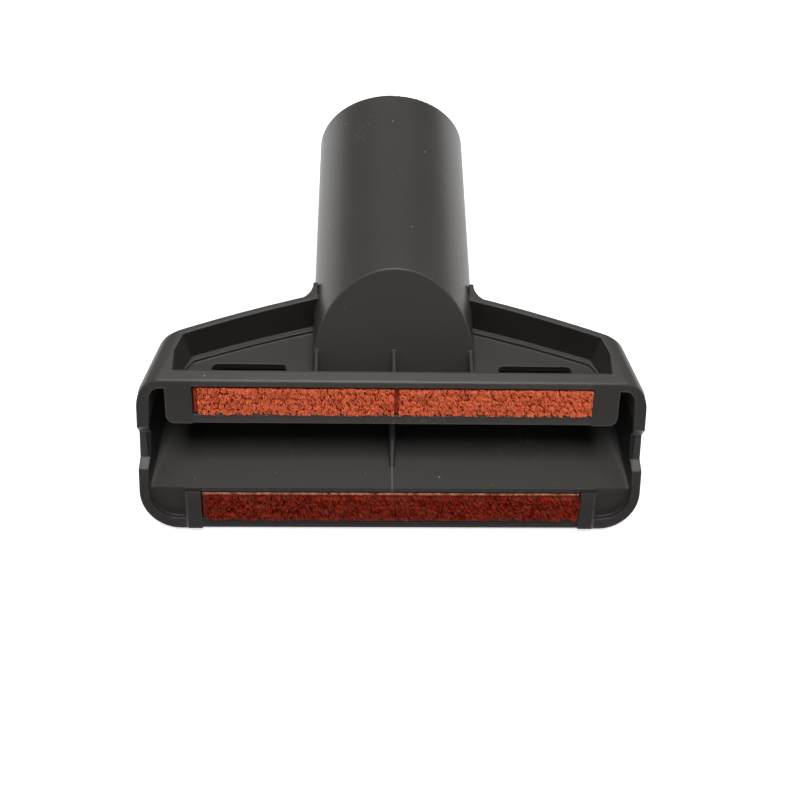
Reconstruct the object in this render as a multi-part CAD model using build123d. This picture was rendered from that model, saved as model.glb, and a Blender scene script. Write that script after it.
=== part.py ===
from build123d import *
import os
from math import atan2, cos, degrees, pi, radians, sin, tan

# Vacuum upholstery nozzle: a one-piece plastic moulding with a wide mouth, a flat fan duct and
# a slanted tube socket, and two thread-lifter strips of short pile on the sole.
# It is drawn with its sole facing up at z = 0 and the mouth centred on x = 0, y = 0.
# +Y points to the rear lip and the tube. At the end it is turned to lie on its back.
# Deck coordinates follow the tube: x across, t along the tube axis, n square to it towards the sole.

# Tube socket
bore_diameter = 35.0
tube_wall = 2.15
tube_angle = 39.0
tube_length = 76.0
axis_y = 17.5
axis_depth = 6.0
rim_round = 0.5
bore_stop = 21.0
stop_ledge = 1.2

# Sole
sole_length = 38.2
sole_half_width_rear = 60.0
sole_flare = 1.5
rear_lip_width = 10.5
rear_lip_inset = 6.5
rear_lip_drop = 0.3
lip_corner = 2.0
front_bar_width = 10.2
front_bar_inset = 11.1
front_bar_rise = 0.8
front_bar_setback = 0.3
front_bar_chamfer = 0.7
front_bar_drop = 1.2
front_corner = 9.5
sole_edge_round = 1.2
jaw_land = 2.5
jaw_round = 1.5

# Fan: outer skin, seen square to the deck
skin = 2.15
waist_inset = 3.8
waist_t = 7.9
shoulder_margin = 0.35
shoulder_t = 19.9
shoulder_bulge = 0.55
crown_t = 22.8
waist_round = 5.5
hip_round = 18.0
back_round = 7.5
cap_round = 4.6
deck_slope = 5.0

# Duct: inner surfaces
mouth_wall = 2.5
duct_taper = 6.7
duct_corner = 3.0
cap_wall = 1.4
channel_round = 2.2
rib_wall = 1.3
rib_start = -16.0
rib_end = 12.0
rib_slant = 3.0
rib_rise = 5.0
rib_rise_length = 8.0

# Wing recesses between the shoulders, the tube and the rear lip
recess_floor = -4.0
plate_wall = 2.0
recess_inset = 8.3
recess_knee = 3.2
recess_knee_inset = 1.7
recess_start = -0.65
recess_draft = 4.5
shoulder_wall = 1.4
ledge_width = 1.3
ledge_end_width = 0.4
ledge_rise = 0.8
slot_from_tube = 6.55
slot_from_end = 7.3
slot_start = 3.2
slot_end = 6.9
slot_round = 1.3
face_depth = 8.0
face_wall = 2.0
face_round = 0.4
gusset_wall = 0.8
gusset_from_side = 1.25
gusset_reach = 24.6
gusset_drop = 0.5
web_round = 4.5
web_rise = 4.8
web_share = 0.3

# Notches in the end walls and pockets beside the front bar
notch_front = -3.4
notch_rear = 7.5
notch_depth = 2.0
notch_front_slope = 2.5
notch_rear_slope = 1.9
notch_from_lip = 2.0
pocket_depth = 1.5
pocket_wall = 2.7
pocket_round = 6.5

# Thread-lifter strips
rear_strip_inset = 6.4
front_strip_inset = 4.2
strip_width = 6.7
strip_seat_depth = 1.9
strip_clearance = 0.15
rear_strip_margin = 1.4
front_strip_margin = 0.8
backing_thickness = 0.8
pile_height = 1.6
pile_side_margin = 0.1
pile_end_margin = 1.2
rear_pile_gap = 1.3
front_pile_gap = 0.2

# How far cuts run past what they cut, joined forms run into each other, and outlines run on
overcut = 3.0
weld = 1.0
run_on = 20.0
far = 120.0

# Derived sizes
bore_radius = bore_diameter / 2
throat_radius = bore_radius - stop_ledge
tube_radius = bore_radius + tube_wall
tube_start = -2 * tube_radius
duct_floor = bore_radius
sole_half_width_front = sole_half_width_rear + sole_flare
rear_lip_half_width = sole_half_width_rear - rear_lip_inset
front_bar_half_width = sole_half_width_front - front_bar_inset
mouth_half_width = sole_half_width_front - mouth_wall
waist_x = sole_half_width_rear - waist_inset
shoulder_x = tube_radius + shoulder_margin
recess_half_width = sole_half_width_rear - recess_inset
slot_inner = tube_radius + slot_from_tube
slot_outer = recess_half_width - slot_from_end
gusset_x = tube_radius - gusset_from_side
rear_strip_length = 2 * (rear_lip_half_width - rear_strip_inset)
front_strip_length = 2 * (front_bar_half_width - front_strip_inset)
lean = radians(tube_angle)
pivot = Vector(0, axis_y, -axis_depth)
along = Vector(0, sin(lean), -cos(lean))
square = Vector(0, cos(lean), sin(lean))
tube_plane = Plane(origin=pivot, x_dir=(1, 0, 0), z_dir=along)
deck_plane = Plane(origin=pivot, x_dir=(1, 0, 0), z_dir=square)
half_length = sole_length / 2
duct_roof = recess_floor - plate_wall


def deck(y, z):
    """Deck coordinates (t, n) of a side-view point."""
    d = Vector(0, y, z) - pivot
    return d.dot(along), d.dot(square)


def side(t, n):
    """Side-view point (y, z) of deck coordinates."""
    p = pivot + along * t + square * n
    return p.Y, p.Z


def across(points, half_width=far):
    """Prism over the width from a side-view outline."""
    return extrude(make_face(Plane.YZ * Polyline(*points, close=True)), amount=half_width, both=True)


def upright(face, low, high):
    """Prism of a deck outline between two heights n."""
    return extrude(deck_plane.offset(low) * face, amount=high - low)


rear_t, rear_n = deck(half_length, 0)
front_t, front_n = deck(-half_length, 0)
mouth_rear = half_length - rear_lip_width
mouth_front = -half_length + front_bar_width
rear_outer_y = half_length - rear_strip_margin
front_outer_y = mouth_front - front_strip_margin


def rim(t):
    """Height n of the rim plane at a place t along the tube."""
    return rear_n + (t - rear_t) * tan(radians(deck_slope))


def corners(face, places, radius):
    """Rounds the corners of a flat outline that lie at the given places and their mirror images."""
    chosen = [v for v in face.vertices() for x, t in places
              if abs(abs(v.X) - x) < 0.01 and abs(v.Y - t) < 0.01]
    return fillet(chosen, radius)


def fan_outline():
    """Outer outline of the fan, seen square to the deck."""
    slope = (sole_half_width_front - sole_half_width_rear) / (rear_t - front_t)
    low_t = front_t - run_on
    low_x = sole_half_width_front + run_on * slope
    mid_x = (waist_x + shoulder_x) / 2
    mid_t = (waist_t + shoulder_t) / 2 + shoulder_bulge
    right = [(low_x, low_t), (sole_half_width_rear, rear_t), (waist_x, waist_t)]
    lines = Polyline(*right)
    shoulder = ThreePointArc((waist_x, waist_t), (mid_x, mid_t), (shoulder_x, shoulder_t))
    crown = ThreePointArc((shoulder_x, shoulder_t), (0, crown_t), (-shoulder_x, shoulder_t))
    shoulder_left = ThreePointArc((-shoulder_x, shoulder_t), (-mid_x, mid_t), (-waist_x, waist_t))
    lines_left = Polyline(*[(-x, t) for x, t in reversed(right)])
    base = Line((-low_x, low_t), (low_x, low_t))
    face = make_face(lines + shoulder + crown + shoulder_left + lines_left + base)
    face = corners(face, [(waist_x, waist_t)], waist_round)
    return corners(face, [(sole_half_width_rear, rear_t)], hip_round)


def rounded_end(low, high, radius):
    """Prism whose rounded corner follows a right-hand edge between two deck points (x, t, n)."""
    start, end = [pivot + Vector(x, 0, 0) + along * t + square * n for x, t, n in (low, high)]
    edge = (end - start).normalized()
    top_normal = (end - start).cross(Vector(1, 0, 0)).normalized()
    inward = edge.cross(top_normal).normalized()
    inward = inward if inward.X < 0 else inward * -1
    section = Plane(origin=start, x_dir=inward, z_dir=edge)
    down = section.to_local_coords(start - square)
    steep = far / abs(down.Y)
    points = [(0, 0), (2 * far, 0), (2 * far, down.Y * steep), (down.X * steep, down.Y * steep)]
    face = make_face(Polyline(*points, close=True))
    face = fillet([v for v in face.vertices() if v.center().length < 0.01], radius)
    return extrude(section * face, amount=far, both=True)


def on_back(edge):
    """True for an edge that lies in the sloping back plane."""
    low, high = Vector(0, -half_length, -jaw_land), Vector(0, *side(crown_t, -tube_radius))
    rise = (high - low).normalized()
    normal = Vector(0, -rise.Z, rise.Y)
    return all(abs((edge.position_at(k) - low).dot(normal)) < 0.01 for k in (0, 0.5, 1))


def fan_solid():
    """Outer form of the fan with rounded back edges and rounded end caps."""
    top_t = crown_t + run_on
    profile = [side(top_t, rim(top_t)), (half_length, 0), (-half_length, 0),
               (-half_length, -jaw_land), side(crown_t, -tube_radius), side(top_t, -tube_radius)]
    section = make_face(Polyline(*profile, close=True))
    rear_corner = [v for v in section.vertices() if (v.center() - Vector(half_length, 0)).length < 0.01]
    section = fillet(rear_corner, sole_edge_round)
    solid = upright(fan_outline(), -far / 2, far / 2) & extrude(Plane.YZ * section, far, both=True)
    around = [e for e in solid.edges() if on_back(e) and e.length < sole_half_width_rear]
    solid = fillet(around, back_round)
    front, rear, waist = [(x, t, rim(t)) for x, t in (
        (sole_half_width_front, front_t), (sole_half_width_rear, rear_t), (waist_x, waist_t))]
    for low, high in ((front, rear), (rear, waist)):
        cap = rounded_end(low, high, cap_round)
        solid = solid & cap & mirror(cap, about=Plane.YZ)
    jaw = [e for e in solid.edges().filter_by(GeomType.LINE)
           if e.length > sole_half_width_rear and abs(e.center().Z + jaw_land) < 0.01]
    corner = corner_cut()
    return fillet(jaw, jaw_round) - corner - mirror(corner, about=Plane.YZ)


def corner_cut():
    """What is cut away outside the right front corner of the sole."""
    tilt = atan2(sole_flare, sole_length)
    y = -half_length + front_corner
    x = sole_half_width_front - front_corner * (tan(tilt) + 1 / cos(tilt))
    start = (x, -half_length)
    middle = (x + front_corner * sin(tilt / 2 + pi / 4), y - front_corner * cos(tilt / 2 + pi / 4))
    end = (x + front_corner * cos(tilt), y + front_corner * sin(tilt))
    outside = Polyline(end, (far, end[1]), (far, -far), (x, -far), start)
    return extrude(make_face(ThreePointArc(start, middle, end) + outside), amount=far, both=True)


def duct_side():
    """Points (x, t) of the duct's right side wall: below the mouth, at the bend and at the shoulder."""
    slope = tan(radians(duct_taper))
    mouth_t = deck(mouth_front, 0)[0]
    low_t = front_t - run_on
    low_x, bend_x = [mouth_half_width - (t - mouth_t) * slope for t in (low_t, rear_t)]
    return [(low_x, low_t), (bend_x, rear_t), (waist_x - skin, waist_t - skin / 2)]


def duct_outline():
    """Outline of the duct's inside, seen square to the deck."""
    right = duct_side()
    end_x, end_t = right[-1]
    mid_x = (end_x + shoulder_x) / 2
    mid_t = (end_t + shoulder_t - skin) / 2 + shoulder_bulge
    top = (shoulder_x - skin / 2, shoulder_t - skin)
    shoulder = ThreePointArc(right[-1], (mid_x, mid_t), top)
    crown = ThreePointArc(top, (0, crown_t - skin), (-top[0], top[1]))
    shoulder_left = ThreePointArc((-top[0], top[1]), (-mid_x, mid_t), (-end_x, end_t))
    lines_left = Polyline(*[(-x, t) for x, t in reversed(right)])
    low_x, low_t = right[0]
    base = Line((-low_x, low_t), (low_x, low_t))
    face = make_face(Polyline(*right) + shoulder + crown + shoulder_left + lines_left + base)
    return corners(face, [(end_x, end_t)], duct_corner)


def duct_solid():
    """Inside of the fan: the flat duct, its flared mouth and the raised channel at each end."""
    low_t, top_t = front_t - run_on, crown_t + run_on
    lip_t, lip_n = deck(mouth_rear, 0)
    flare_t = recess_start - plate_wall
    profile = [side(low_t, -duct_floor), side(top_t, -duct_floor), side(top_t, duct_roof),
               side(flare_t, duct_roof), side(lip_t, lip_n), side(low_t, lip_n)]
    duct = upright(duct_outline(), -far / 2, far / 2) & across(profile)
    floor_edges = [e for e in duct.edges()
                   if abs(deck(e.center().Y, e.center().Z)[1] + duct_floor) < 0.01
                   and deck(e.center().Y, e.center().Z)[0] > rear_t + weld]
    return fillet(floor_edges, duct_corner)


def channel_solid():
    """Right end channel, which runs up between the end wall and the wing recess."""
    low_t = front_t - run_on
    top_n = rim(rear_t) - cap_wall
    inner = rear_lip_half_width
    outline = duct_outline() & Pos(inner + far, 0) * Rectangle(2 * far, 2 * far)
    channel = upright(outline, -duct_floor / 2, top_n)
    keep = across([side(low_t, -far), side(waist_t - skin, -far), side(waist_t - skin, far),
                   side(low_t, far)])
    channel = channel & keep
    low, bend, end = [(x, t, top_n) for x, t in duct_side()]
    return channel & rounded_end(low, bend, channel_round) & rounded_end(bend, end, channel_round)


def recess_outline(spread, end_inset=0.0, far_inset=0.0):
    """Outline of the wing recesses at one height, spread outwards by the draft."""
    end_x = recess_half_width + spread - end_inset
    knee = (end_x, waist_t - recess_knee)
    inset = shoulder_wall - spread + far_inset
    corner_x, top_x = end_x - recess_knee_inset, shoulder_x - overcut
    corner = (corner_x, shoulder_line(corner_x) - inset)
    mid_x = (corner[0] + shoulder_x) / 2
    mid = (mid_x, shoulder_line(mid_x) - inset)
    top = (top_x, shoulder_line(top_x) - inset)
    right = [(end_x, recess_start), knee, corner]
    arc = ThreePointArc(corner, mid, top)
    arc_left = ThreePointArc((-top[0], top[1]), (-mid[0], mid[1]), (-corner[0], corner[1]))
    lines_left = Polyline(*[(-x, t) for x, t in reversed(right)])
    base = Line((-end_x, recess_start), (end_x, recess_start))
    across_top = Line(top, (-top[0], top[1]))
    return make_face(Polyline(*right) + arc + across_top + arc_left + lines_left + base)


def shoulder_line(x):
    """Place t of the outer shoulder line above a given x."""
    share = (waist_x - x) / (waist_x - shoulder_x)
    chord = waist_t + share * (shoulder_t - waist_t)
    return chord + 4 * shoulder_bulge * share * (1 - share)


def drafted(low, high, **insets):
    """Recess body between two heights with its walls leaning outwards."""
    top_n = rim(waist_t)
    lean_out = tan(radians(recess_draft))
    faces = [deck_plane.offset(n) * recess_outline((n - top_n) * lean_out, **insets) for n in (low, high)]
    return loft(faces, ruled=True)


def recess_solid():
    """Both wing recesses, with a low ledge along the foot of the shoulder wall."""
    high = rim(crown_t) + overcut
    shelf = recess_floor + ledge_rise
    upper = drafted(shelf, high)
    lower = drafted(recess_floor, high, end_inset=ledge_end_width, far_inset=ledge_width)
    slot = Pos((slot_inner + slot_outer) / 2, (slot_start + slot_end) / 2) * RectangleRounded(
        slot_outer - slot_inner, slot_end - slot_start, slot_round)
    slots = upright(slot, duct_roof - overcut, recess_floor + overcut)
    return upper + lower + slots + mirror(slots, about=Plane.YZ)


def beyond(t, low_n=-far):
    """Everything past a place t along the tube, from a height n upwards."""
    return across([side(t, low_n), side(far, low_n), side(far, far), side(t, far)])


def under_face(depth):
    """Everything under a plane parallel to the sole."""
    return across([(-far, -depth), (far, -depth), (far, -2 * far), (-far, -2 * far)])


def socket_solid():
    """Outside of the tube, ending in the flat face that is parallel to the sole."""
    tube = extrude(tube_plane.offset(tube_start) * Circle(tube_radius), amount=tube_length - tube_start)
    far_rim = [e for e in tube.edges().filter_by(GeomType.CIRCLE)
               if deck(e.arc_center.Y, e.arc_center.Z)[0] > 0]
    tube = fillet(far_rim, rim_round) & under_face(face_depth)
    face_edge = [e for e in tube.edges() if abs(e.center().Z + face_depth) < 0.01]
    return fillet(face_edge, face_round)


def web_solid():
    """Right fillet web between the shoulder and the tube, as high as the rim plane."""
    inner_x, outer_x = tube_radius - tube_wall / 2, tube_radius + web_round
    base = shoulder_line(outer_x)
    low_t, high_t = base - web_round, base + web_rise
    bend = 1 - cos(radians(45))
    arc = ThreePointArc((outer_x, base), (tube_radius + web_round * bend, base + web_rise * bend),
                        (tube_radius, high_t))
    rest = Polyline((tube_radius, high_t), (inner_x, high_t), (inner_x, low_t), (outer_x, low_t),
                    (outer_x, base))
    web = upright(make_face(arc + rest), -tube_radius * web_share, far)
    return web & across([side(-far, -far), side(-far, rim(-far)), side(far, rim(far)), side(far, -far)])


def bore_solid():
    """Bore down to the stop ledge and the narrower throat below it, closed by the flat face's wall."""
    bore = extrude(tube_plane.offset(bore_stop) * Circle(bore_radius), amount=tube_length)
    throat = extrude(tube_plane.offset(tube_start) * Circle(throat_radius), amount=tube_length)
    return bore + (throat & under_face(face_depth + face_wall) & beyond(recess_start))


def gusset_solids():
    """Three thin ribs that tie the rear lip to the flat face."""
    foot = side(recess_start, recess_floor)
    top = side(recess_start, rim(recess_start) - gusset_drop)
    outline = [foot, top, (gusset_reach, -face_depth), (gusset_reach, -face_depth - weld),
               (foot[0], foot[1] - weld)]
    rib = across(outline, gusset_wall / 2)
    return Pos(-gusset_x, 0, 0) * rib + rib + Pos(gusset_x, 0, 0) * rib


def rib_solid():
    """Lengthwise rib in the middle of the duct, from floor to roof."""
    outline = [side(rib_start, -duct_floor - weld), side(rib_end, -duct_floor - weld),
               side(rib_end - rib_slant, duct_roof + weld), side(recess_start, duct_roof + weld),
               side(rib_start + rib_rise_length, -duct_floor + rib_rise)]
    return across(outline, rib_wall / 2)


def block(x_low, x_high, y_low, y_high, z_low, z_high):
    """Plain block between its corners."""
    size = (x_high - x_low, y_high - y_low, z_high - z_low)
    return Pos(x_low, y_low, z_low) * Box(*size, align=(Align.MIN, Align.MIN, Align.MIN))


def upright_edges(solid, x, y):
    """Edges along Z at one corner of a block."""
    return [e for e in solid.edges().filter_by(Axis.Z)
            if abs(e.center().X - x) < 0.01 and abs(e.center().Y - y) < 0.01]


def notch_solid():
    """Shallow cut across the right end wall, with sloping ends."""
    outline = [(notch_front, 0), (notch_front + notch_front_slope, -notch_depth),
               (notch_rear - notch_rear_slope, -notch_depth), (notch_rear, 0),
               (notch_rear, overcut), (notch_front, overcut)]
    inner_x = rear_lip_half_width + notch_from_lip
    return across(outline) & block(inner_x, far, -half_length, half_length, -far, far)


def corner_pocket():
    """Shallow pocket between the right end wall and the front bar, open to the mouth."""
    outer = sole_half_width_front - pocket_wall
    low = -half_length + pocket_wall
    pocket = block(front_bar_half_width, outer, low, mouth_front + overcut, -pocket_depth, overcut)
    return fillet(upright_edges(pocket, outer, low), pocket_round)


def front_bar():
    """Raised bar that carries the front strip, with chamfered ends."""
    x = front_bar_half_width
    bar = block(-x, x, -half_length + front_bar_setback, mouth_front, -weld, front_bar_rise)
    ends = [e for e in bar.edges().filter_by(Axis.Y) if e.center().Z > 0]
    return chamfer(ends, front_bar_chamfer)


def seat_drops():
    """What is cut away so that the walls along both strips stand lower than their ends."""
    x = rear_strip_length / 2 + strip_clearance
    rear = block(-x, x, mouth_rear - weld, rear_outer_y - strip_width, -rear_lip_drop, overcut)
    x = front_strip_length / 2 + strip_clearance
    top = front_bar_rise - front_bar_drop
    return rear + block(-x, x, -half_length - weld, mouth_front + weld, top, overcut)


def strip_seat(length, outer_y, top_z):
    """Pocket for a strip, with clearance round it."""
    c = strip_clearance
    x, low_y = length / 2 + c, outer_y - strip_width - c
    return block(-x, x, low_y, outer_y + c, top_z - strip_seat_depth, far)


def strip(length, outer_y, top_z, gap):
    """Backing strip and its two pile pads."""
    start, low_y = -length / 2, outer_y - strip_width
    floor_z = top_z - strip_seat_depth
    backing_top = floor_z + backing_thickness
    backing = block(start, start + length, low_y, outer_y, floor_z, backing_top)
    left = start + pile_end_margin
    right = start + length - pile_side_margin
    middle = (left + right) / 2
    y0, y1 = low_y + pile_side_margin, outer_y - pile_side_margin
    z1 = backing_top + pile_height
    left_pad = block(left, middle - gap / 2, y0, y1, backing_top, z1)
    right_pad = block(middle + gap / 2, right, y0, y1, backing_top, z1)
    return backing, left_pad, right_pad


def lip_ends(solid):
    """Edges at both ends of the rear lip's mouth side, from the sole down to the duct roof."""
    foot_y, foot_z = side(recess_start - plate_wall, duct_roof)
    middle = Vector(rear_lip_half_width, (mouth_rear + foot_y) / 2, foot_z / 2)
    return [e for e in solid.edges()
            if (Vector(abs(e.center().X), e.center().Y, e.center().Z) - middle).length < 0.1]


def body_solid():
    """The whole moulding."""
    web = web_solid()
    body = fan_solid() + web + mirror(web, about=Plane.YZ) - recess_solid()
    body = body + socket_solid() + gusset_solids()
    channel = channel_solid()
    hollow = duct_solid() + bore_solid() + channel + mirror(channel, about=Plane.YZ)
    body = body - hollow
    body = fillet(lip_ends(body), lip_corner)
    body = body + rib_solid() + front_bar()
    for cut in (notch_solid(), corner_pocket()):
        body = body - cut - mirror(cut, about=Plane.YZ)
    return body


rear_parts = strip(rear_strip_length, rear_outer_y, 0, rear_pile_gap)
front_parts = strip(front_strip_length, front_outer_y, front_bar_rise, front_pile_gap)

body = body_solid() - seat_drops()
body = body - strip_seat(rear_strip_length, rear_outer_y, 0)
body = body - strip_seat(front_strip_length, front_outer_y, front_bar_rise)

nodes = {
    "nozzle_body": body,
    "rear_lifter_backing": rear_parts[0],
    "rear_left_pile_pad": rear_parts[1],
    "rear_right_pile_pad": rear_parts[2],
    "front_lifter_backing": front_parts[0],
    "front_left_pile_pad": front_parts[1],
    "front_right_pile_pad": front_parts[2],
}

# Rest pose: on its back, on the jaw's outer edge and the far rim of the tube.
far_rim = side(tube_length, -tube_radius)
jaw_edge = (-half_length, -jaw_land)
tip = degrees(atan2(-(far_rim[1] - jaw_edge[1]), far_rim[0] - jaw_edge[0]))
laid = Rot(tip, 0, 0)
box = (laid * body).bounding_box()
place = Pos(0, -(box.min.Y + box.max.Y) / 2, -box.min.Z) * laid

os.makedirs("parts", exist_ok=True)
for name, shape in nodes.items():
    placed = place * shape
    export_step(placed, os.path.join("parts", name + ".step"))
    print(name, round(placed.volume, 1))
socket_middle = place * Pos(*(pivot + along * (bore_stop + tube_length) / 2))
print("socket middle", socket_middle.position, "bore length", tube_length - bore_stop)
print("tip", tip, "box", (place * body).bounding_box())
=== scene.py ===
# %% [markdown]
# # A vacuum upholstery nozzle, lying on its back
# The nozzle is one charcoal plastic moulding with two red thread-lifter strips on its sole.
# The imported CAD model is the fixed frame: it gives the exact shapes and places, in metres.
# Blender adds what a drawing of solids leaves out: the tufts of the pile, the weave of the
# tapes, the grain, dust and scuffs of the plastic, the light and the camera.

# %% Load the frame and keep its box
import random
from collections import namedtuple
from math import cos, pi, radians, sin, sqrt

import bpy
from mathutils import Matrix, Vector


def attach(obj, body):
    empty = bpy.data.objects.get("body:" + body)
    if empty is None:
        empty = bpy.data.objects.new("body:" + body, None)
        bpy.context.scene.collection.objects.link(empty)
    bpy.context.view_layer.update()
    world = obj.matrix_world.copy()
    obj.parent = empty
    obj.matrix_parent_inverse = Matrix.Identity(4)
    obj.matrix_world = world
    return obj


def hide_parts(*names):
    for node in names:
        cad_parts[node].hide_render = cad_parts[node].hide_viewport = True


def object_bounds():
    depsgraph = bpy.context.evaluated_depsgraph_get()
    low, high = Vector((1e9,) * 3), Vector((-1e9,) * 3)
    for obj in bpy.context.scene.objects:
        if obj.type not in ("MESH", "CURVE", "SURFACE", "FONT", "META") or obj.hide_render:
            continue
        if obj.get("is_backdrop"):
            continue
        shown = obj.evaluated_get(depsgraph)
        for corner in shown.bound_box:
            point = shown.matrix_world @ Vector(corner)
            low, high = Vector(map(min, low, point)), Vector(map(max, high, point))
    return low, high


MM = 0.001
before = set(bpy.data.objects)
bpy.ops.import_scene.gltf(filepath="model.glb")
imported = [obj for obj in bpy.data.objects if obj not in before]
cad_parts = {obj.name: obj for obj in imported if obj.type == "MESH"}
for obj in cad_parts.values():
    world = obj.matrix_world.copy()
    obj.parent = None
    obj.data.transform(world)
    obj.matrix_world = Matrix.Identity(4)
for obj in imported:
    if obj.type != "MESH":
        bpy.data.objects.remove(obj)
cad_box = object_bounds()
print("CAD nodes:", ", ".join(sorted(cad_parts)))
print("CAD box:", cad_box)

# %% [markdown]
# ## Camera
# The photograph looks down on the sole from in front of the mouth. The eye's place was found by
# matching the outline of the sole and the tube, so the camera is set by numbers: its place, how
# far it tips up from straight down, a small turn to the right and a small roll. A camera that
# tracks a target would be quicker to set up, but it could not hold the roll.

# %% Camera at the photograph's angle
SENSOR_WIDTH = 36.0
FOCAL_PIXELS = 936.2
FRAME_PIXELS = 800
NEAR_CLIP = 0.01
EYE = Vector((-7.1, -127.7, 223.6)) * MM
TIP_UP, TURN_RIGHT, ROLL = radians(26.41), radians(2.21), radians(0.445)

camera = bpy.data.objects.new("camera", bpy.data.cameras.new("camera"))
bpy.context.collection.objects.link(camera)
camera.data.sensor_width = SENSOR_WIDTH
camera.data.lens = FOCAL_PIXELS / FRAME_PIXELS * SENSOR_WIDTH
camera.data.clip_start = NEAR_CLIP
camera.matrix_world = (Matrix.Translation(EYE) @ Matrix.Rotation(TIP_UP, 4, "X")
                       @ Matrix.Rotation(-TURN_RIGHT, 4, "Y") @ Matrix.Rotation(ROLL, 4, "Z"))
bpy.context.scene.camera = camera
bpy.context.scene.view_settings.view_transform = "Standard"
print("camera lens:", round(camera.data.lens, 2), "mm")

# %% [markdown]
# ## Shader maths
# A material is a small calculation that Blender runs at every point of a surface. Written as
# nodes it soon gets long, so the class below wraps one output of a node: `mask * 0.5` adds the
# Math node that halves the mask, and the result is wrapped again. The reflected forms make
# `1 - mask` work too.

# %% One wrapped output, with the operators that add Math nodes
class Signal:
    def __init__(self, recipe, socket):
        self.recipe, self.socket = recipe, socket

    def math(self, operation, first, second=0.0):
        return self.recipe.node("ShaderNodeMath", {"operation": operation},
                                {0: first, 1: second})

    def __add__(self, other):
        return self.math("ADD", self, other)

    def __radd__(self, other):
        return self.math("ADD", other, self)

    def __sub__(self, other):
        return self.math("SUBTRACT", self, other)

    def __rsub__(self, other):
        return self.math("SUBTRACT", other, self)

    def __mul__(self, other):
        return self.math("MULTIPLY", self, other)

    def __rmul__(self, other):
        return self.math("MULTIPLY", other, self)

    def __abs__(self):
        return self.math("ABSOLUTE", self)


# %% [markdown]
# A recipe is one material. Its method `node` takes a node's type, then its settings, then the
# values or signals of its inputs, and returns the first output or a named one. The methods
# under it are short names for the nodes that this object needs most. A ramp is a mask that
# starts at one value of a signal and is full at another.

# %% A material as a recipe
class Recipe:
    def __init__(self, name, **constants):
        self.material = bpy.data.materials.new(name)
        self.material.use_nodes = True
        self.tree = self.material.node_tree
        self.surface = self.tree.nodes["Principled BSDF"]
        self.feed(**constants)

    def node(self, kind, settings=None, inputs=None, output=0):
        made = self.tree.nodes.new(kind)
        for key, value in (settings or {}).items():
            setattr(made, key, value)
        for key, value in (inputs or {}).items():
            self.set(made.inputs[key], value)
        return Signal(self, made.outputs[output])

    def set(self, socket, value):
        if isinstance(value, Signal):
            self.tree.links.new(value.socket, socket)
        else:
            socket.default_value = value

    def feed(self, **values):
        for socket, value in values.items():
            self.set(self.surface.inputs[socket.replace("_", " ")], value)

    def place(self):
        return self.node("ShaderNodeTexCoord", output="Object")

    def axis(self, vector, letter):
        return self.node("ShaderNodeSeparateXYZ", inputs={0: vector}, output=letter)

    def along(self, vector, direction):
        return self.node("ShaderNodeVectorMath", {"operation": "DOT_PRODUCT"},
                         {0: vector, 1: direction}, output="Value")

    def noise(self, place, scale, detail=2.0, roughness=0.5):
        return self.node("ShaderNodeTexNoise", inputs={
            "Vector": place, "Scale": scale, "Detail": detail, "Roughness": roughness})

    def ramp(self, signal, start, full):
        return self.node("ShaderNodeMapRange", inputs={
            "Value": signal, "From Min": start, "From Max": full})

    def mix(self, mask, first, second):
        return self.node("ShaderNodeMix", {"data_type": "RGBA"},
                         {"Factor": mask, 6: first, 7: second}, output=2)


def rgb(red, green, blue):
    """A colour given as it shows on a screen, 0 to 255, turned into Blender's linear values."""
    linear = [((c / 255 + 0.055) / 1.055) ** 2.4 if c > 10 else c / 255 / 12.92
              for c in (red, green, blue)]
    return (*linear, 1.0)


print("a mid grey, 128 on a screen, is", round(rgb(128, 128, 128)[0], 3), "to Blender")

# %% [markdown]
# ## Charcoal plastic: where its tone changes
# The moulding is a satin charcoal plastic, perhaps ABS. Painted shade is laid into its colour:
# the inside of the duct is painted darker, and it is also rougher; the channels at both ends are
# painted darker still, and so, a little, is the sole at its ends and round the front strip.
# Separate materials would give hard borders, so each of these is a mask: a few ramps on the
# point's place, multiplied. Each pair of numbers below says where a ramp starts and where it is
# full. The outer skin lies close to the hollows, so a last mask leaves out faces that look away
# from the middle.

# %% Masks of the hollows
DECK_NORMAL = (0.0, 0.0647, 0.998)
SOLE_NORMAL = (0.0, -0.7348, 0.6783)
SOLE_UP = (0.0, 0.6783, 0.7348)
SOLE_LEVEL = 40.09 * MM

FACING_SIDE = (12 * MM, 6 * MM)
DUCT_BOTTOM, DUCT_TOP = (4.6 * MM, 5.2 * MM), (17 * MM, 12 * MM)
DUCT_SIDE, DUCT_BACK = (58.6 * MM, 57.6 * MM), (5 * MM, -5 * MM)
CHANNEL_INNER, CHANNEL_OUTER = (53.8 * MM, 54.8 * MM), (59.05 * MM, 58.8 * MM)
CHANNEL_BOTTOM, CHANNEL_TOP = (6.5 * MM, 9.0 * MM), (20.5 * MM, 19.5 * MM)
CHANNEL_MOUTH = (SOLE_LEVEL - 0.5 * MM, SOLE_LEVEL - 1.5 * MM)


def not_outward(recipe, place):
    """Leaves out the outer sides, whose faces look away from the middle."""
    normal = recipe.node("ShaderNodeNewGeometry", output="Normal")
    return recipe.ramp(recipe.axis(place, "X") * recipe.axis(normal, "X"), *FACING_SIDE)


def inside_duct(recipe, place):
    """The duct's inner faces: above the outer skin, below the roof, between the ends."""
    height = recipe.along(place, DECK_NORMAL)
    return (recipe.ramp(height, *DUCT_BOTTOM) * recipe.ramp(height, *DUCT_TOP)
            * recipe.ramp(abs(recipe.axis(place, "X")), *DUCT_SIDE)
            * recipe.ramp(recipe.axis(place, "Y"), *DUCT_BACK) * not_outward(recipe, place))


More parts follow.
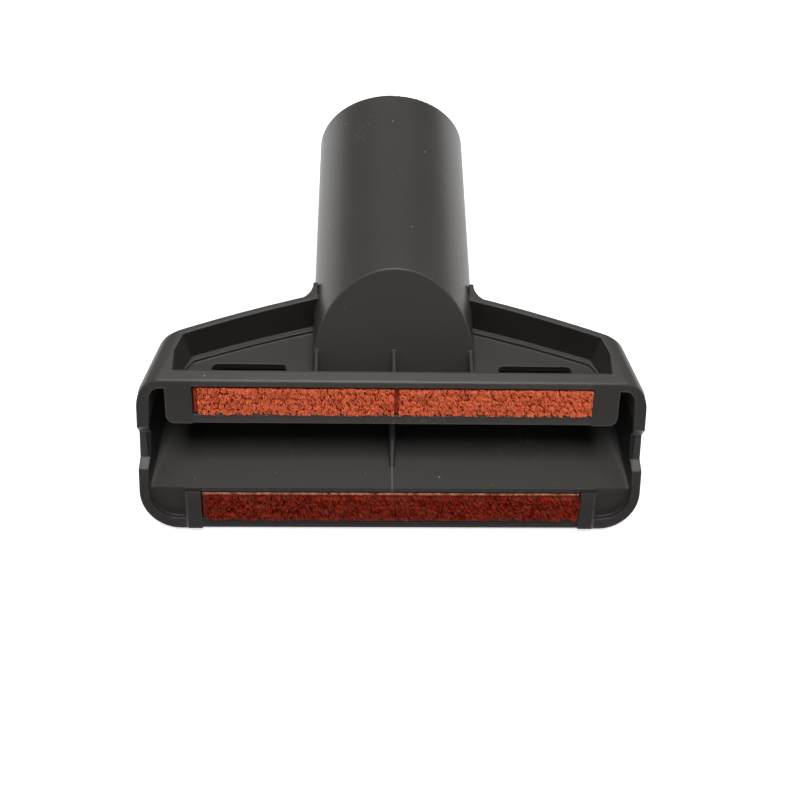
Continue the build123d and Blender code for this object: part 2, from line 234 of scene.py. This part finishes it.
def end_channel_shade(recipe, place):
    """The deep channels between the bars' ends and the end walls, painted dark as their shade."""
    across = abs(recipe.axis(place, "X"))
    height = recipe.along(place, DECK_NORMAL)
    level = recipe.along(place, SOLE_NORMAL)
    return (recipe.ramp(across, *CHANNEL_INNER) * recipe.ramp(across, *CHANNEL_OUTER)
            * recipe.ramp(height, *CHANNEL_BOTTOM) * recipe.ramp(height, *CHANNEL_TOP)
            * recipe.ramp(level, *CHANNEL_MOUTH) * not_outward(recipe, place))


print("the sole lies", SOLE_LEVEL / MM, "mm out along", SOLE_NORMAL)

# %% Masks of the sole
LIP_LEVEL = (SOLE_LEVEL - 7 * MM, SOLE_LEVEL - 4 * MM)
LIP_ROW = (-17 * MM, -25 * MM)
ENDS_LEVEL = (SOLE_LEVEL - 0.7 * MM, SOLE_LEVEL - 0.3 * MM)
ENDS_START = (46.5 * MM, 47.5 * MM)
LINE_WIDTH = (0.24 * MM, 0.14 * MM)
LINE_REAR, LINE_FRONT = (-33 * MM, -34 * MM), (-60 * MM, -59 * MM)
LINE_HEIGHT = (4 * MM, 5 * MM)


def front_lip_shade(recipe, place):
    """The sole beside and in front of the front strip, where shade is painted in."""
    return (recipe.ramp(recipe.along(place, SOLE_NORMAL), *LIP_LEVEL)
            * recipe.ramp(recipe.along(place, SOLE_UP), *LIP_ROW))


def sole_ends_shade(recipe, place):
    """The sole's flat face at both ends, beside the strips, where a little shade is painted in."""
    return (recipe.ramp(abs(recipe.axis(place, "X")), *ENDS_START)
            * recipe.ramp(recipe.along(place, SOLE_NORMAL), *ENDS_LEVEL))


def ridge_highlight_line(recipe, place):
    """A thin pale line, a painted highlight, along the middle of the duct floor from the rib's
    foot on.
    """
    ahead = recipe.axis(place, "Y")
    return (recipe.ramp(abs(recipe.axis(place, "X")), *LINE_WIDTH)
            * recipe.ramp(ahead, *LINE_REAR) * recipe.ramp(ahead, *LINE_FRONT)
            * recipe.ramp(recipe.axis(place, "Z"), *LINE_HEIGHT))


print("the darker ends start", ENDS_START[0] / MM, "mm from the middle")

# %% [markdown]
# ## Dust and scuffs
# Handling left pale dust specks and a few faint scuffs. A speck sits in the middle of some
# cells of a Voronoi pattern: the cell's distance gives the round spot, and its random colour
# says whether it has one. A scuff is the thin line where a soft noise crosses its middle. Both
# are calculated at each point, so they need no picture and no unwrapping.

# %% Specks and scratches
SPECK_CORE = 0.4
SCRATCH_NOISE, PATCH_NOISE = (55.0, 4.0, 0.6), (38.0, 1.0)  # scale, detail, roughness
NOISE_MIDDLE = 0.5
SCRATCH_WIDTH = 0.007
SCRATCH_PATCHES = (0.60, 0.68)


def dust_specks(recipe, place, cell, radius, chance):
    """Round specks, one in the middle of some cells of a Voronoi pattern."""
    cells = {"Vector": place, "Scale": 1 / cell}
    away = recipe.node("ShaderNodeTexVoronoi", inputs=cells, output="Distance")
    colour = recipe.node("ShaderNodeTexVoronoi", inputs=cells, output="Color")
    return (recipe.ramp(away, radius / cell, SPECK_CORE * radius / cell)
            * recipe.ramp(recipe.axis(colour, "X"), 1 - chance, 1.01 - chance))


def scuff_lines(recipe, place):
    """Thin wandering scratches where a noise crosses its middle, in a few patches only."""
    wander = recipe.noise(place, *SCRATCH_NOISE) - NOISE_MIDDLE
    return (recipe.ramp(abs(wander), SCRATCH_WIDTH, 0.0)
            * recipe.ramp(recipe.noise(place, *PATCH_NOISE), *SCRATCH_PATCHES))


print("scratches are drawn where the noise is within", SCRATCH_WIDTH, "of its middle")

# %% [markdown]
# ## The plastic itself
# The tones are laid over each other from the broad to the small: cloudy charcoal, then painted
# shade on the sole, in the duct and in the channels, then a painted highlight line, the scuffs
# and the dust. A very fine grain goes into a Bump node, because it is too small for real bumps.
# A Bevel node under it rounds the light on every edge, because no moulded edge is quite sharp,
# and the mesh of the CAD model stays as it is.

# %% Charcoal plastic
PLASTIC_DARK, PLASTIC_LIGHT = rgb(59, 56, 54), rgb(66, 63, 60)
# The sole, duct and channel tones are painted shade.
SOLE_SHADE_TONE, DUCT_SHADE_TONE, CHANNEL_SHADE_TONE = rgb(44, 40, 40), rgb(41, 39, 37), rgb(22, 20, 20)
SCRATCH_AND_HIGHLIGHT_TONE, DUST_TONE = rgb(150, 146, 140), rgb(196, 190, 182)
LIP_SHARE, ENDS_SHARE, LINE_SHARE, SCRATCH_SHARE = 0.8, 0.4, 0.25, 0.1
DUST, DUST_SHARE = (4.0 * MM, 0.24 * MM, 0.10), 0.6  # cell, radius, chance
FINE_DUST, FINE_SHARE = (1.3 * MM, 0.14 * MM, 0.07), 0.35
CLOUD_NOISE, GRAIN_NOISE = (60.0, 3.0), (3200.0, 2.0)  # scale, detail
SATIN, CLOUDY_ROUGHER, DUCT_ROUGHER = 0.34, 0.08, 0.18
EDGE_ROUND, EDGE_SAMPLES = 0.6 * MM, 4
GRAIN_STRENGTH, GRAIN_DEPTH = 0.12, 0.05 * MM


def plastic_tone(recipe, place, cloudy, duct):
    """The plastic's colour, with the broad changes first and the small marks last."""
    tone = recipe.mix(cloudy, PLASTIC_DARK, PLASTIC_LIGHT)
    # Painted shade on the sole round the front strip and at its ends.
    tone = recipe.mix(front_lip_shade(recipe, place) * LIP_SHARE, tone, SOLE_SHADE_TONE)
    tone = recipe.mix(sole_ends_shade(recipe, place) * ENDS_SHARE, tone, SOLE_SHADE_TONE)
    # Painted shade in the duct and in the end channels.
    tone = recipe.mix(duct, tone, DUCT_SHADE_TONE)
    tone = recipe.mix(end_channel_shade(recipe, place), tone, CHANNEL_SHADE_TONE)
    # A painted highlight along the duct floor's middle; the scuffs and dust below are real marks.
    tone = recipe.mix(ridge_highlight_line(recipe, place) * LINE_SHARE, tone, SCRATCH_AND_HIGHLIGHT_TONE)
    tone = recipe.mix(scuff_lines(recipe, place) * SCRATCH_SHARE, tone, SCRATCH_AND_HIGHLIGHT_TONE)
    dust = dust_specks(recipe, place, *DUST)
    fine_dust = dust_specks(recipe, place, *FINE_DUST)
    return recipe.mix(dust * DUST_SHARE + fine_dust * FINE_SHARE, tone, DUST_TONE)


def charcoal_plastic():
    recipe = Recipe("charcoal_plastic", IOR=1.5)
    place = recipe.place()
    cloudy = recipe.noise(place, *CLOUD_NOISE)
    grain = recipe.noise(place, *GRAIN_NOISE)
    duct = inside_duct(recipe, place)
    edge = recipe.node("ShaderNodeBevel", {"samples": EDGE_SAMPLES}, {"Radius": EDGE_ROUND})
    bumped = recipe.node("ShaderNodeBump", inputs={
        "Strength": GRAIN_STRENGTH, "Distance": GRAIN_DEPTH, "Height": grain, "Normal": edge})
    recipe.feed(Base_Color=plastic_tone(recipe, place, cloudy, duct),
                Roughness=SATIN + CLOUDY_ROUGHER * cloudy + DUCT_ROUGHER * duct, Normal=bumped)
    return recipe.material


charcoal = charcoal_plastic()
for material_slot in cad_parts["nozzle_body"].material_slots:
    material_slot.material = charcoal
print("plastic nodes:", len(charcoal.node_tree.nodes))

# %% [markdown]
# ## Web fillets
# Beside the tube each shoulder ends in a thin web. It rises higher than the widest part of the
# round tube, so a narrow wedge stays open between the two. On the moulding that corner is
# rounded. The small fillet below fills its lower half, and it sinks into the tube over its last
# few millimetres. A boolean would cut the CAD mesh, so the fillet is a short strip of its own,
# made of sections along the tube. Its sizes are in millimetres: t runs along the tube, n stands
# on the deck, x runs across.

# %% Web fillets beside the tube
TUBE_RADIUS = 19.65
WEB_START, WEB_END, FILLET_RUN = 18.95, 23.55, 5.0
WEB_RIM, WEB_RIM_RISE = 5.34, 0.0875
FILLET_SHARE, FADE_POWER, FILLET_LIFT, FILLET_FOOT = 0.5, 1.5, 0.2, -0.5
TUBE_SINK, WEB_SINK, FOOT_SINK = 0.1, 0.02, 0.6
FILLET_STEPS = 12
PIVOT = Vector((0.0, -23.731, 24.493))
TUBE_AXIS, DECK_UP = Vector((0.0, 0.9979, -0.0647)), Vector((0.0, 0.0647, 0.9979))


def fillet_section(side, t):
    """Four corners: on the tube, at the web, at the web's foot and inside the tube."""
    fade = max(0.0, (t - WEB_END) / FILLET_RUN)
    top = FILLET_SHARE * (WEB_RIM + WEB_RIM_RISE * t) * (1 - fade) ** FADE_POWER + FILLET_LIFT
    on_tube = sqrt(TUBE_RADIUS ** 2 - top ** 2) - TUBE_SINK
    corners = ((on_tube, top), (TUBE_RADIUS - WEB_SINK, top),
               (TUBE_RADIUS - WEB_SINK, FILLET_FOOT), (TUBE_RADIUS - FOOT_SINK, FILLET_FOOT))
    return [(PIVOT + Vector((side * x, 0, 0)) + TUBE_AXIS * t + DECK_UP * n) * MM
            for x, n in corners]


def web_fillet(name, side):
    points, faces = [], []
    for step in range(FILLET_STEPS + 1):
        run = WEB_END + FILLET_RUN - WEB_START
        points += fillet_section(side, WEB_START + step * run / FILLET_STEPS)
    for step in range(FILLET_STEPS):
        for corner in range(4):
            a, b = 4 * step + corner, 4 * step + (corner + 1) % 4
            faces.append((a, b, b + 4, a + 4))
    last = 4 * FILLET_STEPS
    faces += [(3, 2, 1, 0), (last, last + 1, last + 2, last + 3)]
    mesh = bpy.data.meshes.new(name)
    mesh.from_pydata(points, [], [face if side > 0 else face[::-1] for face in faces])
    mesh.materials.append(charcoal)
    made = bpy.data.objects.new(name, mesh)
    bpy.context.collection.objects.link(made)
    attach(made, "root")
    print(name, len(points), "points")


web_fillet("left_web_fillet", -1)
web_fillet("right_web_fillet", 1)

# %% [markdown]
# ## The sole's own directions
# The nozzle lies tipped on its back, so the sole is slanted. A pile pad of the CAD model is a
# plain block, and its top face looks straight out of the sole. That gives three directions to
# build the strips in: X across the mouth, Y from the mouth to the tube, Z out of the sole.
# Reading them from the mesh is safer than typing in an angle.

# %% Directions of the sole, read from a pile pad
pad_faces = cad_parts["rear_left_pile_pad"].data.polygons
out = max((face.normal.copy() for face in pad_faces), key=lambda normal: normal.z - normal.y)
to_row = Matrix(((1, 0, 0), out.cross(Vector((1, 0, 0))), out)).transposed()
to_sole = to_row.inverted()
print("the sole looks along", tuple(round(value, 3) for value in out))


def sole_box(node):
    """Lowest and highest corner of a CAD node, measured along the sole's directions."""
    points = [to_sole @ vertex.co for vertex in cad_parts[node].data.vertices]
    return Vector(map(min, zip(*points))), Vector(map(max, zip(*points)))


def sole_piece(name, points, faces, material):
    """A mesh built along the sole's directions, turned into the frame's own."""
    mesh = bpy.data.meshes.new(name)
    mesh.from_pydata([to_row @ Vector(point) for point in points], [], faces)
    mesh.materials.append(material)
    mesh.validate()
    mesh.update()
    made = bpy.data.objects.new(name, mesh)
    bpy.context.collection.objects.link(made)
    return made


# %% [markdown]
# ## Pile
# A thread lifter is a short, stiff pile that leans one way, so lint is combed off the cloth.
# Close up it isn't a smooth velvet: the fibres stand in staggered tufts, with dark gaps. Hair
# particles would not reach the exported model, so every strand is a small tapered tube of real
# mesh, and all the strands of a pad are one object. The two strips are painted as lit and shaded
# copies of one red pile, the rear one orange and bright, the front one dark red, because they
# lean opposite ways to the light. So each has its own set of values.

# %% What the two piles look like
# The front pile's darker red is painted shade: a shaded copy of the rear pile's colours.
PILES = {
    "rear": dict(root=rgb(160, 26, 6), tip=rgb(255, 134, 90), sheen=1.0, spread=0.4,
                 lean=(0.25 * MM, -0.25 * MM), spacing=1.5 * MM, parting=0.5 * MM,
                 depth=0.5, bare=0.15 * MM),
    "front": dict(root=rgb(44, 3, 0), tip=rgb(170, 44, 24), sheen=0.25, spread=0.9,
                  lean=(0.35 * MM, -0.30 * MM), spacing=1.3 * MM, parting=0.4 * MM,
                  depth=0.5, bare=0.35 * MM)}
TIP_SHARE = 0.7
FADED_TONE, FADED_SHARE = rgb(230, 140, 100), 0.1
FADED_NOISE, FADED_RAMP = (420.0, 2.0), (0.35, 0.75)


def pile_finish(name, pile, level, height):
    """Fibres painted dark at the root and bright at the tip, as painted shade deep in the pile.
    Each strand differs a little.
    """
    recipe = Recipe(name, Roughness=0.9, Specular_IOR_Level=0.15, Sheen_Weight=pile["sheen"],
                    Sheen_Roughness=0.5, Sheen_Tint=pile["tip"])
    place = recipe.place()
    share = recipe.ramp(recipe.along(place, tuple(out)), level, level + TIP_SHARE * height)
    strand = recipe.node("ShaderNodeNewGeometry", output="Random Per Island")
    # Painted shade: the root colour darkens the pile towards its depth.
    tone = recipe.mix(share, pile["root"], pile["tip"])
    tone = recipe.mix(strand * pile["spread"], tone, pile["root"])
    faded = recipe.ramp(recipe.noise(place, *FADED_NOISE), *FADED_RAMP)
    recipe.feed(Base_Color=recipe.mix(faded * FADED_SHARE, tone, FADED_TONE))
    return recipe.material


print("tufts stand", {strip: pile["spacing"] / MM for strip, pile in PILES.items()}, "mm apart")

# %% [markdown]
# ### One strand
# A strand starts upright and leans over towards its tip, like a bristle that has been brushed.
# Three sides are enough for something about a pixel wide, and they keep the pads light: each
# strand costs 21 triangles.

# %% One strand
STRAND_SIDES = 3
STRAND_RADII = (0.17 * MM, 0.16 * MM, 0.13 * MM, 0.07 * MM)
STRAND_SHARES = (0.0, 0.4, 0.75, 0.94, 1.0)
BEND_POWER, RISE_POWER = 1.6, 1.5


def strand_path(root, reach, height):
    """Points of a strand that starts upright and leans over towards its tip."""
    return [Vector((root[0] + reach[0] * k ** BEND_POWER, root[1] + reach[1] * k ** BEND_POWER,
                    height * (1 - (1 - k) ** RISE_POWER)))
            for k in STRAND_SHARES]


def add_strand(points, faces, path, bottom):
    """Adds a tapered tube along a path to the lists of a mesh."""
    first = len(points)
    for place, radius in zip(path, STRAND_RADII):
        for side in range(STRAND_SIDES):
            turn = 2 * pi * (side + 0.5) / STRAND_SIDES
            points.append((place.x + radius * cos(turn), place.y + radius * sin(turn),
                           bottom + place.z))
    points.append((path[-1].x, path[-1].y, bottom + path[-1].z))
    for ring in range(len(STRAND_RADII) - 1):
        for side in range(STRAND_SIDES):
            a = first + ring * STRAND_SIDES + side
            b = first + ring * STRAND_SIDES + (side + 1) % STRAND_SIDES
            faces.append((a, b, b + STRAND_SIDES, a + STRAND_SIDES))
    last = first + (len(STRAND_RADII) - 1) * STRAND_SIDES
    tip = last + STRAND_SIDES
    for side in range(STRAND_SIDES):
        faces.append((last + side, last + (side + 1) % STRAND_SIDES, tip))


print("a strand has", len(STRAND_RADII) * STRAND_SIDES + 1, "points")

# %% [markdown]
# ### Tufts
# The pile is dense everywhere, and what makes it look tufted is its height: strands near the
# line where two tufts meet are shorter, and the colour that follows height paints them darker as
# shade. A strand finds the two nearest tuft centres, and the difference of their distances says
# how close that line is. Each tuft has its own small lean. The random numbers start from a fixed
# seed, so every run gives the same pile.

# %% Tuft centres
Tuft = namedtuple("Tuft", "x y lean_x lean_y height")
ROW_SHARE = 0.85
JITTER_X, JITTER_Y = 0.17, 0.15
TUFT_LEAN_X, TUFT_LEAN_Y = 0.35, 0.3  # millimetres
TUFT_HEIGHTS = (0.88, 1.0)


def tuft_centres(low, high, spacing, draw):
    """Tufts in staggered rows, each a little off its row and with a lean of its own."""
    centres = []
    rows = round((high.y - low.y) / (ROW_SHARE * spacing))
    columns = round((high.x - low.x) / spacing)
    for row in range(rows):
        for column in range(columns + 1):
            x = low.x + (column + 0.5 * (row % 2)) * (high.x - low.x) / columns
            y = low.y + (row + 0.5) * (high.y - low.y) / rows
            centres.append(Tuft(x + draw.uniform(-JITTER_X, JITTER_X) * spacing,
                                y + draw.uniform(-JITTER_Y, JITTER_Y) * spacing,
                                draw.uniform(-TUFT_LEAN_X, TUFT_LEAN_X) * MM,
                                draw.uniform(-TUFT_LEAN_Y, TUFT_LEAN_Y) * MM,
                                draw.uniform(*TUFT_HEIGHTS)))
    return centres


def two_nearest(x, y, centres):
    """The nearest tuft with its distance, and the distance of the next one."""
    (near, tuft), (next_near, _) = sorted(
        (sqrt((x - tuft.x) ** 2 + (y - tuft.y) ** 2), tuft) for tuft in centres)[:2]
    return tuft, near, next_near


print("rows of tufts stand", ROW_SHARE, "of the tufts' spacing apart")

# %% The strands of a pad
STRAND_SPACING = 0.30 * MM
STRAND_JITTER = (0.1, 0.9)
STRAND_HEIGHTS = (0.92, 1.0)
STRAND_LEAN = 0.26  # millimetres
GATHER = 0.05
PARTING_POWER = 1.5
SIDE_HANG, MOUTH_HANG = 0.1 * MM, 0.35 * MM


def tufted_pad(name, node, material, pile, seed):
    """The strands of one pad: dense, and short along the line where two tufts meet."""
    draw = random.Random(seed)
    low, high = sole_box(node)
    high.y -= pile["bare"]
    height = high.z - low.z
    centres = tuft_centres(low, high, pile["spacing"], draw)
    columns = round((high.x - low.x) / STRAND_SPACING)
    rows = round((high.y - low.y) / STRAND_SPACING)
    points, faces = [], []
    for number in range(columns * rows):
        column, row = number % columns, number // columns
        x = low.x + (column + draw.uniform(*STRAND_JITTER)) * (high.x - low.x) / columns
        y = low.y + (row + draw.uniform(*STRAND_JITTER)) * (high.y - low.y) / rows
        tuft, near, next_near = two_nearest(x, y, centres)
        inside = min((next_near - near) / pile["parting"], 1.0)
        tall = (height * tuft.height * (1 - pile["depth"] * (1 - inside) ** PARTING_POWER)
                * draw.uniform(*STRAND_HEIGHTS))
        reach_x = (pile["lean"][0] + tuft.lean_x - GATHER * (x - tuft.x)
                   + draw.uniform(-STRAND_LEAN, STRAND_LEAN) * MM)
        reach_y = (pile["lean"][1] + tuft.lean_y - GATHER * (y - tuft.y)
                   + draw.uniform(-STRAND_LEAN, STRAND_LEAN) * MM)
        tip_x = min(max(x + reach_x, low.x - SIDE_HANG), high.x + SIDE_HANG)
        tip_y = min(max(y + reach_y, low.y - MOUTH_HANG), high.y)
        add_strand(points, faces, strand_path((x, y), (tip_x - x, tip_y - y), tall), low.z)
    made = sole_piece(name, points, faces, material)
    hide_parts(node)
    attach(made, "root")
    print(name, len(points), "points,", len(faces), "faces")


# %% The four pile pads
seed = 0
for strip, pile in PILES.items():
    low, high = sole_box(strip + "_left_pile_pad")
    finish = pile_finish(strip + "_pile", pile, low.z, high.z - low.z)
    for half in ("left", "right"):
        seed += 1
        name = strip + "_" + half + "_pile"
        tufted_pad(name, name + "_pad", finish, pile, seed)

# %% [markdown]
# ## Backing tape
# The tufts stand on a tape that shows at the bare left end of each strip, between the halves and
# along the edge that faces the tube, where its selvedge is paler. A plain weave is drawn as real
# bumps: a product of two sines, so that threads along the tape pass over and under threads
# across. A bump map would be lighter, but it would not be in the exported mesh.

# %% Woven body of a tape
THREAD = 0.62 * MM
STEPS_PER_THREAD = 4
WEAVE_DEPTH = 0.09 * MM
RIM_DROP = 0.2 * MM


def woven_top(low, high, columns, rows):
    """Points of the tape's top, row by row, with its rim a little lower."""
    points = []
    for row in range(rows + 1):
        y = low.y + (high.y - low.y) * row / rows
        for column in range(columns + 1):
            x = low.x + (high.x - low.x) * column / columns
            over = sin(pi * x / THREAD) * sin(pi * y / THREAD)
            rim = row in (0, rows) or column in (0, columns)
            points.append((x, y, high.z - (RIM_DROP if rim else WEAVE_DEPTH * (0.5 - 0.5 * over))))
    return points


def woven_tape(name, node, material):
    """The whole tape as a closed body: woven top, upright sides, flat underside."""
    low, high = sole_box(node)
    step = THREAD / STEPS_PER_THREAD
    columns, rows = round((high.x - low.x) / step), round((high.y - low.y) / step)
    points = woven_top(low, high, columns, rows)
    wide = columns + 1
    faces = [(a, a + 1, a + 1 + wide, a + wide)
             for row in range(rows) for a in range(row * wide, row * wide + columns)]
    ring = (list(range(wide))
            + [row * wide + columns for row in range(1, rows + 1)]
            + [rows * wide + column for column in range(columns - 1, -1, -1)]
            + [row * wide for row in range(rows - 1, 0, -1)])
    under = len(points)
    points += [(points[place][0], points[place][1], low.z) for place in ring]
    for k, place in enumerate(ring):
        after = (k + 1) % len(ring)
        faces.append((ring[after], place, under + k, under + after))
    faces.append(tuple(under + k for k in reversed(range(len(ring)))))
    made = sole_piece(name, points, faces, material)
    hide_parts(node)
    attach(made, "root")
    print(name, len(points), "points")


# %% Tape finish and the two tapes
TAPES = {"rear": (rgb(136, 40, 20), rgb(168, 66, 40)),
         "front": (rgb(92, 24, 12), rgb(132, 46, 28))}
SELVEDGE_TONE = rgb(206, 138, 108)
SELVEDGE_START, SELVEDGE_FULL = 0.7 * MM, 0.3 * MM
WORN_NOISE, WORN_RAMP = (900.0, 3.0), (0.3, 0.7)


def tape_finish(name, dark, light, edge):
    """Worn red threads, with a paler selvedge along the edge that faces the tube."""
    recipe = Recipe(name, Roughness=0.8, Specular_IOR_Level=0.2)
    place = recipe.place()
    worn = recipe.ramp(recipe.noise(place, *WORN_NOISE), *WORN_RAMP)
    selvedge = recipe.ramp(recipe.along(place, tuple(to_row.col[1])),
                           edge - SELVEDGE_START, edge - SELVEDGE_FULL)
    tone = recipe.mix(worn, dark, light)
    recipe.feed(Base_Color=recipe.mix(selvedge * worn, tone, SELVEDGE_TONE))
    return recipe.material


for strip, (dark, light) in TAPES.items():
    low, high = sole_box(strip + "_lifter_backing")
    woven_tape(strip + "_backing_tape", strip + "_lifter_backing",
               tape_finish(strip + "_backing", dark, light, high.y))

# %% [markdown]
# ## Floor
# The photograph was taken on white. The floor is pale and plain. A brighter lamp would turn it
# white and spoil the plastic, so the floor adds a little white of its own, seen only by the
# camera, in mirrored rays and through glass. It reads as white and still keeps the shadow.

# %% Pale floor
FLOOR_SIZE = 6.0
FLOOR_GAP = 0.05 * MM
FLOOR_TONE, FLOOR_GLOW, NO_GLOW = (0.8, 0.8, 0.8, 1.0), (0.7, 0.7, 0.7, 1.0), (0, 0, 0, 1)


def pale_floor():
    recipe = Recipe("pale_floor", Base_Color=FLOOR_TONE, Roughness=1.0, Emission_Strength=1.0)
    camera_ray, glossy_ray, glass_ray = [
        recipe.node("ShaderNodeLightPath", output=kind)
        for kind in ("Is Camera Ray", "Is Glossy Ray", "Is Transmission Ray")]
    seen = camera_ray.math("MAXIMUM", camera_ray,
                           glossy_ray.math("MAXIMUM", glossy_ray, glass_ray))
    recipe.feed(Emission_Color=recipe.mix(seen, NO_GLOW, FLOOR_GLOW))
    return recipe.material


bpy.ops.mesh.primitive_plane_add(size=FLOOR_SIZE,
                                 location=(0, 0, cad_box[0][2] - FLOOR_GAP))
floor = bpy.context.object
floor.name = "floor"
floor.data.materials.append(pale_floor())
floor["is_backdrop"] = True
print("floor at", round(floor.location.z / MM, 3), "mm")

# %% [markdown]
# ## Light
# The light is soft and even. A picture of a sky could give such light in one step, but a few
# square lamps need no file and can be set one by one. The one straight above draws the thin
# bright lines on the edges. Two lamps high at the sides and two lower down light the round tube,
# and a weak one from behind lifts the shoulders. The world adds a dim white, so that no hollow
# goes fully black. The strengths were found by comparing tones of the render with the photograph.

# %% Soft studio light
WORLD_COLOUR, WORLD_STRENGTH = (1, 1, 1, 1), 0.09
AIM = Vector((0, 0, 0))
LAMPS = {  # place, size in metres, watts
    "top_light": ((0.0, 0.0, 1.35), 0.65, 12.5),
    "left_high_light": ((-0.95, 0.1, 0.95), 0.8, 2.2),
    "right_high_light": ((0.95, 0.1, 0.95), 0.8, 2.0),
    "back_light": ((0.0, 1.3, 0.7), 1.2, 1.5),
    "left_light": ((-1.2, 0.1, 0.5), 1.2, 2.4),
    "right_light": ((1.2, 0.1, 0.5), 1.2, 2.8)}

world = bpy.data.worlds.new("studio")
bpy.context.scene.world = world
world.use_nodes = True
world.node_tree.nodes["Background"].inputs["Color"].default_value = WORLD_COLOUR
world.node_tree.nodes["Background"].inputs["Strength"].default_value = WORLD_STRENGTH

for name, (place, size, watts) in LAMPS.items():
    lamp = bpy.data.lights.new(name, "AREA")
    lamp.shape, lamp.size, lamp.energy = "SQUARE", size, watts
    made = bpy.data.objects.new(name, lamp)
    bpy.context.collection.objects.link(made)
    made.location = place
    made.rotation_euler = (AIM - Vector(place)).to_track_quat("-Z", "Y").to_euler()
print("lamps:", len(LAMPS))

# %% [markdown]
# ## Sizes
# The last cell prints the box of the CAD model and of the dressed one, so that the two can be
# compared: the pile and the fillets should not reach past the CAD model.

# %% Print the sizes and finish
size = {"cad": [list(corner) for corner in cad_box],
        "visual": [list(corner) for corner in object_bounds()]}
print(size)
